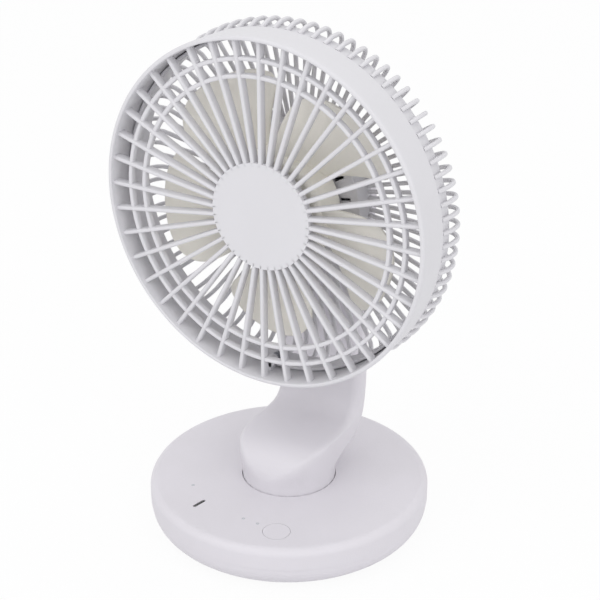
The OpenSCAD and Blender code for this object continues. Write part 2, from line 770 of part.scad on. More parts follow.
// Boss at the foot of the hoop for the locking screw
module grille_lug() {
  translate([0, rim_r - 8, rear_ring_front - 5]) cylinder(r = 3, h = 4.6);
  translate([-1, rim_r - 8, rear_ring_front - 5]) cube([2, 8 - hoop_wall + 1, 4.6]);
}

module grille_disc() {
  color(grille_white) in_head() {
    translate([0, 0, rib_front]) cylinder(r = disc_r, h = disc_t - 0.05);
    for (a = [0:120:240]) rotate([0, 0, a]) translate([15, 0, rib_front + disc_t - 0.05 - overlap])
      cylinder(r = 2, h = grille_hub_back - rib_front - disc_t + 0.8);
  }
}

// Outline of a rear spoke in the plane of radius and depth
function spoke_outline(root_r) =
  let (c = [rear_out_r - corner_r, rear_depth - corner_r])
  concat(
    [[hoop_back_r - spoke_t + 0.1, hoop_depth + 2 * gap], [hoop_back_r + 0.1, hoop_depth + 2 * gap]],
    arc(c, corner_r, 0, 90, 6),
    [[root_r, rear_depth + back_dish], [root_r, rear_depth + back_dish - spoke_t]],
    arc(c, corner_r - spoke_t, 90, 0, 5)
  );

module rear_grille() {
  ring_r = hoop_back_r - hoop_wall - gap;
  color(grille_white) in_head() difference() {
    union() {
      for (k = [0:rear_spokes - 1]) rotate([0, 0, (k + 0.5) * 360 / rear_spokes])
        translate([0, rear_spoke_w / 2, 0]) rotate([90, 0, 0])
          linear_extrude(rear_spoke_w) polygon(spoke_outline(housing_r - 1));
      // ring inside the hoop, and the band that follows it
      rotate_extrude() polygon([
        [ring_r - rear_ring_t, rear_ring_front], [ring_r, rear_ring_front], [ring_r, hoop_depth + gap],
        [ring_r + 1.4, hoop_depth + gap], [ring_r + 1.4, hoop_depth + rear_band],
        [ring_r - 0.4, hoop_depth + rear_band], [ring_r - 0.4, hoop_depth + 2], [ring_r - rear_ring_t, hoop_depth]
      ]);
      // cup that carries the motor
      rotate_extrude() polygon([
        [tube_r + 6, housing_front], [housing_r, housing_front],
        [housing_r, rear_depth + back_dish + 0.5], [housing_r - housing_wall, rear_depth + back_dish + 0.5],
        [housing_r - housing_wall, housing_front + housing_wall], [tube_r + 6, housing_front + housing_wall]
      ]);
      housing_screw_places() translate([0, 0, housing_front + 1]) cylinder(r = boss_r, h = 8);
      translate([0, rim_r - 8, rear_ring_front]) cylinder(r = 3.6, h = 3);
    }
    housing_screw_places() translate([0, 0, housing_front + 3]) cylinder(r = screw_r - 0.1, h = 20);
    bracket_screw_places() translate([0, 0, housing_front - 1]) cylinder(r = screw_r - 0.1, h = 6);
    translate([0, rim_r - 8, rear_ring_front - 1]) cylinder(r = screw_r + 0.15, h = 6);
    // slots that let the motor breathe
    for (k = [0:17]) rotate([0, 0, k * 20 + 10]) translate([30, -0.9, housing_front - 1]) cube([7, 1.8, housing_wall + 2]);
  }
}

module housing_screw_places() {
  for (a = [45:90:315]) rotate([0, 0, a]) translate([34.5, 0, 0]) children();
}

module bracket_screw_places() {
  for (a = [90, 210, 330]) rotate([0, 0, a]) translate([bracket_screw_ring_r, 0, 0]) children();
}

module grille_screw() {
  color(steel) in_head() translate([0, rim_r - 8, rear_ring_front + 4.6]) rotate([180, 0, 0]) screw(8, screw_r - 0.15);
}

// Rear housing of the motor, with the knuckle that turns on the hinge bolt
module motor_housing() {
  front = rear_depth + back_dish + 0.5 + gap;
  edge = 5;
  color(shell_white) in_head() difference() {
    union() {
      rotate_extrude() polygon(concat(
        [[0, dome_back], [dome_back_r, dome_back]],
        arc([housing_r - edge, front + edge - 1], edge, 45, 0, 5),
        [[housing_r, front], [housing_r - housing_wall, front]],
        [[dome_back_r - 1, dome_back - housing_wall - 0.4], [0, dome_back - housing_wall]]
      ));
      translate([-knuckle_half, -web_half, dome_back - 1]) cube([2 * knuckle_half, 2 * web_half, pivot_depth - dome_back + 1]);
      translate([-knuckle_half, 0, pivot_depth]) rotate([0, 90, 0]) cylinder(r = knuckle_r, h = 2 * knuckle_half);
      housing_screw_places() translate([0, 0, front + 0.2]) cylinder(r = boss_r, h = 4.5);
    }
    translate([-knuckle_half - 1, 0, pivot_depth]) rotate([0, 90, 0]) cylinder(r = bolt_r + running, h = 2 * knuckle_half + 2);
    housing_screw_places() {
      translate([0, 0, front - 1]) cylinder(r = screw_r + 0.15, h = 12);
      translate([0, 0, front + 4]) cylinder(r = 2.9, h = 12);
    }
  }
}

module housing_screws() {
  front = rear_depth + back_dish + 0.5 + gap;
  color(steel) in_head() housing_screw_places() translate([0, 0, front + 5.7]) rotate([180, 0, 0]) screw(9, screw_r - 0.15);
}

module motor_bracket() {
  color([0.75, 0.75, 0.76]) in_head() difference() {
    union() {
      translate([0, 0, housing_front - bracket_t - 0.05]) cylinder(r = bracket_r, h = bracket_t);
      translate([0, 0, rotor_front + 5]) cylinder(r = tube_r, h = housing_front + 4 - rotor_front - 5);
    }
    translate([0, 0, rotor_front + 4]) cylinder(r = bearing_r + 0.02, h = bearing_t + 1);
    translate([0, 0, rotor_front]) cylinder(r = shaft_r + 1, h = 40);
    translate([0, 0, housing_front + 4 - bearing_t]) cylinder(r = bearing_r + 0.02, h = bearing_t + 1);
    bracket_screw_places() translate([0, 0, housing_front - 5]) cylinder(r = screw_r + 0.1, h = 8);
  }
}

module bracket_screws() {
  color(steel) in_head() bracket_screw_places() translate([0, 0, housing_front - bracket_t - 1.7]) screw(6.4, screw_r - 0.2);
}

module motor_stator() {
  color([0.45, 0.46, 0.5]) in_head() translate([0, 0, rotor_front + 5.5]) difference() {
    cylinder(r = stator_r, h = stator_t);
    translate([0, 0, -1]) cylinder(r = tube_r + 0.02, h = stator_t + 2);
    for (k = [0:stator_slots - 1]) rotate([0, 0, k * 360 / stator_slots]) translate([0, 0, -1]) {
      translate([9.5, -2.2, 0]) cube([5.5, 4.4, stator_t + 2]);
      translate([14, -0.8, 0]) cube([5, 1.6, stator_t + 2]);
    }
  }
}

module motor_coils() {
  color(copper) in_head() for (k = [0:stator_slots - 1]) rotate([0, 0, (k + 0.5) * 360 / stator_slots])
    for (z = [rotor_front + 5.5 - 1.3, rotor_front + 5.5 + stator_t + 0.1]) translate([10, -2, z]) cube([4.5, 4, 1.2]);
}

module motor_bearings() {
  color(steel) in_head() for (z = [rotor_front + 5 + 0.02, housing_front + 4 - bearing_t + 0.02])
    translate([0, 0, z]) tube(bearing_r, shaft_r + running, bearing_t - 0.04);
}

module motor_board() {
  color(board_green) in_head() translate([0, 0, housing_front + housing_wall + 0.1])
    tube(26, tube_r + 1, board_t);
  color(dark) in_head() translate([10, -4, housing_front + housing_wall + 0.1 + board_t]) cube([6, 8, 1.2]);
}

// ---------- impeller and rotor ----------

module impeller() {
  color(blade_ivory) in_head() {
    difference() {
      union() {
        rotate_extrude() polygon(concat(
          [[0, hub_front]],
          arc([hub_r - 4, hub_front + 4], 4, 270, 360, 6),
          [[hub_r, hub_back], [hub_r - hub_wall, hub_back], [hub_r - hub_wall, hub_front + 4]],
          [[hub_r - 4, hub_front + hub_wall], [0, hub_front + hub_wall]]
        ));
        for (k = [0:blade_count - 1]) rotate([0, 0, -k * 360 / blade_count]) blade();
      }
      translate([0, 0, hub_front - 1]) cylinder(r = shaft_r + 0.02, h = 6);
    }
  }
}

// One blade as a thin twisted sheet. Its clockwise edge, seen from the front, lies deeper in the head
module blade(nr = 7, nu = 8) {
  rows = nr + 1;
  cols = nu + 1;
  function share(i) = i / nr;
  function radius(i) = blade_root_r + (blade_r - blade_root_r) * share(i);
  function mid_angle(i) = blade_root_angle + (blade_tip_angle - blade_root_angle) * share(i);
  function width(i) = (blade_root_width + (blade_tip_width - blade_root_width) * sqrt(share(i)))
    * (1 - 0.22 * pow(share(i), 8));
  function point(i, j, side) =
    let (
      u = 2 * j / nu - 1,
      a = -(mid_angle(i) + u * width(i) / 2),
      r = radius(i) - 3.5 * pow(share(i), 2) * pow(u, 4),
      d = blade_mid - blade_half_depth * (1 - 0.25 * share(i)) * u - 1.5 * (1 - u * u) + side * blade_t / 2
    )
    [r * cos(a), r * sin(a), d];
  points = [for (side = [-1, 1], i = [0:nr], j = [0:nu]) point(i, j, side)];
  function id(s, i, j) = s * rows * cols + i * cols + j;
  faces = concat(
    [for (i = [0:nr - 1], j = [0:nu - 1], t = [0, 1])
      t == 0 ? [id(0, i, j), id(0, i, j + 1), id(0, i + 1, j)] : [id(0, i, j + 1), id(0, i + 1, j + 1), id(0, i + 1, j)]],
    [for (i = [0:nr - 1], j = [0:nu - 1], t = [0, 1])
      t == 0 ? [id(1, i, j), id(1, i + 1, j), id(1, i, j + 1)] : [id(1, i, j + 1), id(1, i + 1, j), id(1, i + 1, j + 1)]],
    [for (j = [0:nu - 1], t = [0, 1])
      t == 0 ? [id(0, 0, j), id(1, 0, j), id(0, 0, j + 1)] : [id(0, 0, j + 1), id(1, 0, j), id(1, 0, j + 1)]],
    [for (j = [0:nu - 1], t = [0, 1])
      t == 0 ? [id(0, nr, j), id(0, nr, j + 1), id(1, nr, j)] : [id(0, nr, j + 1), id(1, nr, j + 1), id(1, nr, j)]],
    [for (i = [0:nr - 1], t = [0, 1])
      t == 0 ? [id(0, i, 0), id(0, i + 1, 0), id(1, i, 0)] : [id(0, i + 1, 0), id(1, i + 1, 0), id(1, i, 0)]],
    [for (i = [0:nr - 1], t = [0, 1])
      t == 0 ? [id(0, i, nu), id(1, i, nu), id(0, i + 1, nu)] : [id(0, i + 1, nu), id(1, i, nu), id(1, i + 1, nu)]]
  );
  polyhedron(points, faces);
}

module rotor_cup() {
  color(steel) in_head() difference() {
    translate([0, 0, rotor_front]) cylinder(r = rotor_r, h = rotor_back - rotor_front);
    translate([0, 0, rotor_front + 1.2]) cylinder(r = magnet_r[1] + 0.02, h = 40);
    translate([0, 0, rotor_front - 1]) cylinder(r = shaft_r + 0.02, h = 4);
  }
}

module rotor_magnet() {
  color([0.2, 0.2, 0.22]) in_head() translate([0, 0, rotor_front + 4]) tube(magnet_r[1], magnet_r[0], stator_t + 3);
}

module motor_shaft() {
  color(steel) in_head() translate([0, 0, hub_front - 3]) cylinder(r = shaft_r, h = housing_front + 4 - hub_front + 3);
}

module blade_nut() {
  color(steel) in_head() translate([0, 0, hub_front - 2.4]) difference() {
    cylinder(r = 4, h = 2.3, $fn = 6);
    translate([0, 0, -1]) cylinder(r = shaft_r + 0.02, h = 5);
  }
}

base_tray();
base_cover();
rubber_feet();
base_screws();
ballast_plate();
battery_cells();
battery_holders();
control_board();
board_components();
power_button();
switch_body();
switch_plunger();
indicator_window();
indicator_pins();
usb_socket();
swing_motor();
swing_shaft();
swing_pinion();
swivel_clip();
neck_spindle();
spindle_screws();
neck_shell();
neck_cover();
neck_screws();
hinge_bolt();
hinge_nut();
hinge_washers();
hinge_caps();
neck_wiring();
rear_grille();
motor_housing();
housing_screws();
motor_bracket();
bracket_screws();
motor_stator();
motor_coils();
motor_bearings();
motor_board();
front_grille();
grille_disc();
grille_screw();
impeller();
rotor_cup();
rotor_magnet();
motor_shaft();
blade_nut();
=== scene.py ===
import bpy
import bmesh
import json
import math
from mathutils import Matrix, Vector


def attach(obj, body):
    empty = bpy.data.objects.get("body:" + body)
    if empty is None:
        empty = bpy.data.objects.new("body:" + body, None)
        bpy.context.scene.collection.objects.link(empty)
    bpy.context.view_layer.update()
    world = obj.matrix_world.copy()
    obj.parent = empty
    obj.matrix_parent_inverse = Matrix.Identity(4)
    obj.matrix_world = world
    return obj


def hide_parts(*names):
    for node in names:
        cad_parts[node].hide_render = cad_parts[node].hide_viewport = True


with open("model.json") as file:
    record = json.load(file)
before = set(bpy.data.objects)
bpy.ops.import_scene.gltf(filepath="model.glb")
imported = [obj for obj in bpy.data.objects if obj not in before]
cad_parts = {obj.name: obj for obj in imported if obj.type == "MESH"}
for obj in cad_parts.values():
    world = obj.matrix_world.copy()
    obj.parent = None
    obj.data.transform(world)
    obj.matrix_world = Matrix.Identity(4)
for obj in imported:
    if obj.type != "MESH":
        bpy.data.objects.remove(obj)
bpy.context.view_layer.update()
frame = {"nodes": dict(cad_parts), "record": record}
nodes = frame["nodes"]
joints = {j["name"]: j for j in frame["record"]["behaviour"]["joints"]}
print("frame loaded:", len(nodes), "nodes")

# ---------- camera, lights and stage ----------

cameraSetup = {
    "place": (0.41334, -0.66987, 0.52444),
    "right": (0.85615, 0.51672, -0.00291),
    "up": (-0.22560, 0.37885, 0.89754),
    "lens": 95.98,
    "sensor": 36.0,
}

stageSetup = {
    "worldStrength": 0.86,
    "aimZ": 0.15,
    "floorHalf": 6.0,
    "floorColour": (0.85, 0.85, 0.86, 1),
    "floorWhite": 0.93,
    "lamps": {
        "keyLamp": {"at": (-0.5, -1.3, 1.45), "size": 1.4, "power": 7.5},
        "fillLamp": {"at": (1.5, -0.9, 1.1), "size": 1.4, "power": 7.0},
        "topLamp": {"at": (0.1, 0.5, 1.7), "size": 1.4, "power": 1.8},
    },
}


def makeCamera(setup):
    data = bpy.data.cameras.new("studioCamera")
    data.lens = setup["lens"]
    data.sensor_width = setup["sensor"]
    data.clip_start, data.clip_end = 0.05, 20
    camera = bpy.data.objects.new("studioCamera", data)
    bpy.context.collection.objects.link(camera)
    right, up = Vector(setup["right"]).normalized(), Vector(setup["up"]).normalized()
    turn = Matrix((right, up, right.cross(up))).transposed().to_4x4()
    camera.matrix_world = Matrix.Translation(setup["place"]) @ turn
    bpy.context.scene.camera = camera


def makeLamp(name, spec, aimZ):
    data = bpy.data.lights.new(name, "AREA")
    data.energy, data.size = spec["power"], spec["size"]
    lamp = bpy.data.objects.new(name, data)
    bpy.context.collection.objects.link(lamp)
    lamp.location = spec["at"]
    lamp.rotation_euler = (Vector((0, 0, aimZ)) - lamp.location).to_track_quat("-Z", "Y").to_euler()


def addNode(tree, kind, inputs=None, **values):
    node = tree.nodes.new(kind)
    for key, value in values.items():
        setattr(node, key, value)
    for key, value in (inputs or {}).items():
        node.inputs[key].default_value = value
    return node


def wireUp(tree, *pairs):
    for source, target in pairs:
        tree.links.new(source, target)


def seenDirectly(tree):  # 1 where the camera, a mirror or a lens looks, else 0
    path = addNode(tree, "ShaderNodeLightPath")
    first = addNode(tree, "ShaderNodeMath", operation="MAXIMUM")
    second = addNode(tree, "ShaderNodeMath", operation="MAXIMUM")
    wireUp(tree, (path.outputs["Is Camera Ray"], first.inputs[0]), (path.outputs["Is Glossy Ray"], first.inputs[1]),
           (first.outputs[0], second.inputs[0]), (path.outputs["Is Transmission Ray"], second.inputs[1]))
    return second.outputs[0]


def makeStage(setup):
    world = bpy.data.worlds.new("paleStudio")
    bpy.context.scene.world = world
    world.use_nodes = True
    tree = world.node_tree
    tree.nodes.clear()
    soft = addNode(tree, "ShaderNodeBackground", {"Color": (1, 1, 1, 1), "Strength": setup["worldStrength"]})
    white = addNode(tree, "ShaderNodeBackground", {"Color": (1, 1, 1, 1), "Strength": 1.0})
    mix = addNode(tree, "ShaderNodeMixShader")
    out = addNode(tree, "ShaderNodeOutputWorld")
    wireUp(tree, (seenDirectly(tree), mix.inputs[0]), (soft.outputs[0], mix.inputs[1]),
           (white.outputs[0], mix.inputs[2]), (mix.outputs[0], out.inputs[0]))
    for name, spec in setup["lamps"].items():
        makeLamp(name, spec, setup["aimZ"])

    half = setup["floorHalf"]
    mesh = bpy.data.meshes.new("studioFloor")
    mesh.from_pydata([(-half, -half, 0), (half, -half, 0), (half, half, 0), (-half, half, 0)], [], [(0, 1, 2, 3)])
    floor = bpy.data.objects.new("studioFloor", mesh)
    bpy.context.collection.objects.link(floor)
    material = bpy.data.materials.new("paleFloor")
    material.use_nodes = True
    tree = material.node_tree
    tree.nodes.clear()
    paint = addNode(tree, "ShaderNodeBsdfDiffuse", {"Color": setup["floorColour"]})
    glow = addNode(tree, "ShaderNodeEmission", {"Color": (1, 1, 1, 1), "Strength": 1.0})
    share = addNode(tree, "ShaderNodeMath", {1: setup["floorWhite"]}, operation="MULTIPLY")
    mix = addNode(tree, "ShaderNodeMixShader")
    out = addNode(tree, "ShaderNodeOutputMaterial")
    wireUp(tree, (seenDirectly(tree), share.inputs[0]), (share.outputs[0], mix.inputs[0]),
           (paint.outputs[0], mix.inputs[1]), (glow.outputs[0], mix.inputs[2]), (mix.outputs[0], out.inputs[0]))
    mesh.materials.append(material)


makeCamera(cameraSetup)
makeStage(stageSetup)
bpy.context.scene.view_settings.view_transform = "Standard"
print("camera and stage ready")

# ---------- materials ----------


def srgb(*levels):
    def one(v):
        v /= 255
        return v / 12.92 if v <= 0.04045 else ((v + 0.055) / 1.055) ** 2.4
    return tuple(one(v) for v in levels) + (1,)


def blendTint(colour, share, towards):
    return tuple(c * (1 - share) + t * share for c, t in zip(colour[:3], towards)) + (1,)


# moulded plastic: fine spark-eroded grain, a slow flow mottle in colour, and uneven gloss
def mouldedPlastic(name, spec):
    material = bpy.data.materials.new(name)
    material.use_nodes = True
    material.diffuse_color = spec["colour"]
    tree = material.node_tree
    tree.nodes.clear()
    coords = addNode(tree, "ShaderNodeTexCoord")
    grain = addNode(tree, "ShaderNodeTexNoise", {"Scale": spec["grainScale"], "Detail": 3.0, "Roughness": 0.6})
    flow = addNode(tree, "ShaderNodeTexNoise", {"Scale": spec.get("flowScale", 28.0), "Detail": 4.0, "Distortion": 0.6})
    specks = addNode(tree, "ShaderNodeTexVoronoi", {"Scale": spec["grainScale"] * 0.55})
    tints = addNode(tree, "ShaderNodeValToRGB")
    tints.color_ramp.elements[0].position, tints.color_ramp.elements[1].position = 0.35, 0.65
    tints.color_ramp.elements[0].color = blendTint(spec["colour"], spec["mottle"], (0.30, 0.29, 0.27))
    tints.color_ramp.elements[1].color = spec["colour"]
    gloss = addNode(tree, "ShaderNodeMapRange", {"To Min": spec["roughness"] - 0.06, "To Max": spec["roughness"] + 0.06})
    relief = addNode(tree, "ShaderNodeMath", operation="MULTIPLY_ADD")
    relief.inputs[1].default_value = 0.5
    bump = addNode(tree, "ShaderNodeBump", {"Strength": spec["grainDepth"], "Distance": 0.0002})
    shader = addNode(tree, "ShaderNodeBsdfPrincipled", {"IOR": 1.49, "Specular IOR Level": spec.get("specular", 0.4)})
    if "coat" in spec:
        shader.inputs["Coat Weight"].default_value = spec["coat"]
        shader.inputs["Coat Roughness"].default_value = 0.08
    if "clear" in spec:
        shader.inputs["Transmission Weight"].default_value = spec["clear"]
    out = addNode(tree, "ShaderNodeOutputMaterial")
    place = coords.outputs["Object"]
    wireUp(tree, (place, grain.inputs["Vector"]), (place, flow.inputs["Vector"]), (place, specks.inputs["Vector"]),
           (flow.outputs["Fac"], tints.inputs["Fac"]), (tints.outputs["Color"], shader.inputs["Base Color"]),
           (flow.outputs["Fac"], gloss.inputs["Value"]), (gloss.outputs["Result"], shader.inputs["Roughness"]),
           (specks.outputs["Distance"], relief.inputs[0]), (grain.outputs["Fac"], relief.inputs[2]),
           (relief.outputs[0], bump.inputs["Height"]), (bump.outputs["Normal"], shader.inputs["Normal"]),
           (shader.outputs[0], out.inputs[0]))
    return material


# metal: turned or brushed rings, or a cast grain, with a little tarnish
def workedMetal(name, spec):
    material = bpy.data.materials.new(name)
    material.use_nodes = True
    material.diffuse_color = spec["colour"]
    tree = material.node_tree
    tree.nodes.clear()
    coords = addNode(tree, "ShaderNodeTexCoord")
    stretch = addNode(tree, "ShaderNodeMapping", {"Scale": spec["stretch"]})
    lines = addNode(tree, "ShaderNodeTexNoise", {"Scale": spec["lineScale"], "Detail": 5.0})
    stain = addNode(tree, "ShaderNodeTexNoise", {"Scale": 90.0, "Detail": 3.0})
    tints = addNode(tree, "ShaderNodeValToRGB")
    tints.color_ramp.elements[0].color = blendTint(spec["colour"], 0.25, (0.18, 0.16, 0.14))
    tints.color_ramp.elements[1].color = spec["colour"]
    gloss = addNode(tree, "ShaderNodeMapRange", {"To Min": spec["roughness"] - 0.08, "To Max": spec["roughness"] + 0.1})
    bump = addNode(tree, "ShaderNodeBump", {"Strength": 0.25, "Distance": 0.0001})
    shader = addNode(tree, "ShaderNodeBsdfPrincipled", {"Metallic": 1.0})
    out = addNode(tree, "ShaderNodeOutputMaterial")
    wireUp(tree, (coords.outputs["Object"], stretch.inputs["Vector"]), (stretch.outputs[0], lines.inputs["Vector"]),
           (coords.outputs["Object"], stain.inputs["Vector"]), (stain.outputs["Fac"], tints.inputs["Fac"]),
           (tints.outputs["Color"], shader.inputs["Base Color"]), (lines.outputs["Fac"], gloss.inputs["Value"]),
           (gloss.outputs["Result"], shader.inputs["Roughness"]), (lines.outputs["Fac"], bump.inputs["Height"]),
           (bump.outputs["Normal"], shader.inputs["Normal"]), (shader.outputs[0], out.inputs[0]))
    return material


plasticSpecs = {
    "shellPlastic": {"colour": srgb(217, 214, 220), "mottle": 0.035, "roughness": 0.46, "grainScale": 1900.0, "grainDepth": 0.22},
    "grillePlastic": {"colour": srgb(215, 214, 218), "mottle": 0.03, "roughness": 0.42, "grainScale": 1700.0, "grainDepth": 0.16},
    "bladePlastic": {"colour": srgb(246, 243, 234), "mottle": 0.03, "roughness": 0.36, "grainScale": 1300.0, "grainDepth": 0.10},
    "buttonPlastic": {"colour": srgb(217, 214, 220), "mottle": 0.02, "roughness": 0.42, "grainScale": 2600.0, "grainDepth": 0.18},
    "smokedWindow": {"colour": srgb(22, 21, 24), "mottle": 0.05, "roughness": 0.14, "grainScale": 900.0, "grainDepth": 0.03, "coat": 0.6},
    "clearLens": {"colour": srgb(196, 198, 204), "mottle": 0.05, "roughness": 0.25, "grainScale": 1500.0, "grainDepth": 0.08, "coat": 0.3},
    "footRubber": {"colour": srgb(40, 40, 42), "mottle": 0.2, "roughness": 0.82, "grainScale": 1400.0, "grainDepth": 0.5, "specular": 0.25},
    "blackPlastic": {"colour": srgb(34, 34, 36), "mottle": 0.1, "roughness": 0.5, "grainScale": 1600.0, "grainDepth": 0.25},
    "gearPlastic": {"colour": srgb(226, 220, 200), "mottle": 0.06, "roughness": 0.38, "grainScale": 1200.0, "grainDepth": 0.1},
    "cellWrap": {"colour": srgb(58, 96, 156), "mottle": 0.12, "roughness": 0.3, "grainScale": 500.0, "grainDepth": 0.12, "coat": 0.3},
    "boardMask": {"colour": srgb(30, 92, 58), "mottle": 0.3, "roughness": 0.35, "grainScale": 700.0, "grainDepth": 0.15, "flowScale": 160.0},
    "chipPlastic": {"colour": srgb(58, 58, 62), "mottle": 0.2, "roughness": 0.45, "grainScale": 1800.0, "grainDepth": 0.2},
}
metalSpecs = {
    "zincSteel": {"colour": srgb(176, 178, 184), "roughness": 0.34, "stretch": (1, 1, 1), "lineScale": 900.0},
    "turnedSteel": {"colour": srgb(160, 163, 168), "roughness": 0.3, "stretch": (1, 6, 1), "lineScale": 420.0},
    "castIron": {"colour": srgb(84, 84, 88), "roughness": 0.62, "stretch": (1, 1, 1), "lineScale": 650.0},
    "windingCopper": {"colour": srgb(186, 112, 62), "roughness": 0.32, "stretch": (1, 1, 14), "lineScale": 700.0},
    "coreSteel": {"colour": srgb(108, 110, 118), "roughness": 0.42, "stretch": (1, 30, 1), "lineScale": 260.0},
    "dieCastAlloy": {"colour": srgb(190, 191, 194), "roughness": 0.48, "stretch": (1, 1, 1), "lineScale": 500.0},
}
finishes = {name: mouldedPlastic(name, spec) for name, spec in plasticSpecs.items()}
finishes.update({name: workedMetal(name, spec) for name, spec in metalSpecs.items()})

slotFinishes = {
    "shell_white": "shellPlastic", "grille_white": "grillePlastic", "blade_ivory": "bladePlastic",
    "button_white": "buttonPlastic", "dark_window": "smokedWindow", "clear_pin": "clearLens",
    "rubber_foot": "footRubber", "black_plastic": "blackPlastic", "gear_plastic": "gearPlastic",
    "steel_screw": "zincSteel", "steel_part": "turnedSteel", "ballast_iron": "castIron", "cell_wrap": "cellWrap",
    "board_green": "boardMask", "board_part": "chipPlastic", "copper_wire": "windingCopper",
    "core_steel": "coreSteel", "magnet": "castIron", "alloy": "dieCastAlloy",
}
for row in frame["record"]["subparts"]:
    node = nodes[row["node"]]
    node.data.materials.clear()
    node.data.materials.append(finishes[slotFinishes[row["material_slot"]]])
print("materials ready:", len(finishes))

# ---------- shared makers ----------


def makeObject(name, points, faces, smooth=True):
    mesh = bpy.data.meshes.new(name)
    mesh.from_pydata(points, [], faces)
    obj = bpy.data.objects.new(name, mesh)
    bpy.context.collection.objects.link(obj)
    if smooth:
        mesh.shade_smooth()
    return obj


def tidyMesh(obj, sharpAngle=38):
    shape = bmesh.new()
    shape.from_mesh(obj.data)
    bmesh.ops.remove_doubles(shape, verts=shape.verts, dist=1e-6)
    bmesh.ops.recalc_face_normals(shape, faces=shape.faces)
    shape.to_mesh(obj.data)
    shape.free()
    obj.data.shade_smooth()
    obj.data.set_sharp_from_angle(angle=math.radians(sharpAngle))


# turns a closed outline of (radius, depth) in mm about the depth axis
def latheMesh(name, outline, steps=160):
    points, faces = [], []
    count = len(outline)
    for i in range(steps):
        angle = 2 * math.pi * i / steps
        for radius, depth in outline:
            points.append((radius * math.cos(angle) / 1000, radius * math.sin(angle) / 1000, depth / 1000))
    for i in range(steps):
        for k in range(count):
            a, b = i * count + k, i * count + (k + 1) % count
            c, d = ((i + 1) % steps) * count + (k + 1) % count, ((i + 1) % steps) * count + k
            faces.append((a, b, c, d))
    obj = makeObject(name, points, faces)
    tidyMesh(obj)
    return obj


def arcPoints(centre, radius, start, end, steps=8):
    return [(centre[0] + radius * math.cos(math.radians(start + (end - start) * i / steps)),
             centre[1] + radius * math.sin(math.radians(start + (end - start) * i / steps))) for i in range(steps + 1)]


# rounds every corner of a closed outline
def softOutline(corners, radius, steps=4):
    out = []
    count = len(corners)
    for i in range(count):
        before, here, after = (Vector(corners[(i + k) % count]) for k in (-1, 0, 1))
        first, second = (before - here), (after - here)
        reach = min(radius, first.length * 0.45, second.length * 0.45)
        start, end = here + first.normalized() * reach, here + second.normalized() * reach
        for k in range(steps + 1):
            t = k / steps
            out.append(tuple(start * (1 - t) ** 2 + here * 2 * t * (1 - t) + end * t ** 2))
    return out


def joinObjects(name, parts):
    shape = bmesh.new()
    for part in parts:
        shape.from_mesh(part.data)
    mesh = bpy.data.meshes.new(name)
    shape.to_mesh(mesh)
    shape.free()
    for part in parts:
        bpy.data.objects.remove(part)
    obj = bpy.data.objects.new(name, mesh)
    bpy.context.collection.objects.link(obj)
    return obj


def applyModifiers(obj):
    graph = bpy.context.evaluated_depsgraph_get()
    mesh = bpy.data.meshes.new_from_object(obj.evaluated_get(graph))
    obj.modifiers.clear()
    obj.data = mesh
    return obj


def cutAway(obj, cutters):
    for cutter in cutters:
        modifier = obj.modifiers.new("cut", "BOOLEAN")
        modifier.operation, modifier.solver, modifier.object = "DIFFERENCE", "EXACT", cutter
    applyModifiers(obj)
    for cutter in cutters:
        bpy.data.objects.remove(cutter)
    return obj


def makeBox(name, low, high):
    points = [(x, y, z) for x in (low[0], high[0]) for y in (low[1], high[1]) for z in (low[2], high[2])]
    faces = [(0, 1, 3, 2), (4, 6, 7, 5), (0, 4, 5, 1), (2, 3, 7, 6), (0, 2, 6, 4), (1, 5, 7, 3)]
    return makeObject(name, [tuple(c / 1000 for c in p) for p in points], faces, smooth=False)


def makeRod(name, radius, length, turn, place, sides=48):
    shape = bmesh.new()
    bmesh.ops.create_cone(shape, cap_ends=True, segments=sides, radius1=radius / 1000, radius2=radius / 1000, depth=length / 1000)
    mesh = bpy.data.meshes.new(name)
    shape.transform(Matrix.Translation(Vector(place) / 1000) @ turn)
    shape.to_mesh(mesh)
    shape.free()
    obj = bpy.data.objects.new(name, mesh)
    bpy.context.collection.objects.link(obj)
    return obj


# ---------- geometry node trees ----------


def newTree(name, sockets):
    tree = bpy.data.node_groups.new(name, "GeometryNodeTree")
    tree.interface.new_socket("Geometry", in_out="INPUT", socket_type="NodeSocketGeometry")
    for label, kind, value in sockets:
        socket = tree.interface.new_socket(label, in_out="INPUT", socket_type=kind)
        if value is not None:
            socket.default_value = value
    tree.interface.new_socket("Geometry", in_out="OUTPUT", socket_type="NodeSocketGeometry")
    return tree, addNode(tree, "NodeGroupInput"), addNode(tree, "NodeGroupOutput")


# repeats a shape evenly about the depth axis
def addRing(tree, source, shape):
    points = addNode(tree, "GeometryNodePoints")
    index = addNode(tree, "GeometryNodeInputIndex")
    step = addNode(tree, "ShaderNodeMath", operation="DIVIDE")
    step.inputs[0].default_value = 2 * math.pi
    turn = addNode(tree, "ShaderNodeMath", operation="MULTIPLY_ADD")
    spin = addNode(tree, "ShaderNodeCombineXYZ")
    stamp = addNode(tree, "GeometryNodeInstanceOnPoints")
    real = addNode(tree, "GeometryNodeRealizeInstances")
    paint = addNode(tree, "GeometryNodeSetMaterial")
    wireUp(tree, (source.outputs["Count"], points.inputs["Count"]), (source.outputs["Count"], step.inputs[1]),
           (index.outputs[0], turn.inputs[0]), (step.outputs[0], turn.inputs[1]),
           (source.outputs["Start Angle"], turn.inputs[2]), (turn.outputs[0], spin.inputs["Z"]),
           (points.outputs[0], stamp.inputs["Points"]), (shape, stamp.inputs["Instance"]),
           (spin.outputs[0], stamp.inputs["Rotation"]), (stamp.outputs[0], real.inputs[0]),
           (real.outputs[0], paint.inputs["Geometry"]), (source.outputs["Finish"], paint.inputs["Material"]))
    return paint.outputs[0]


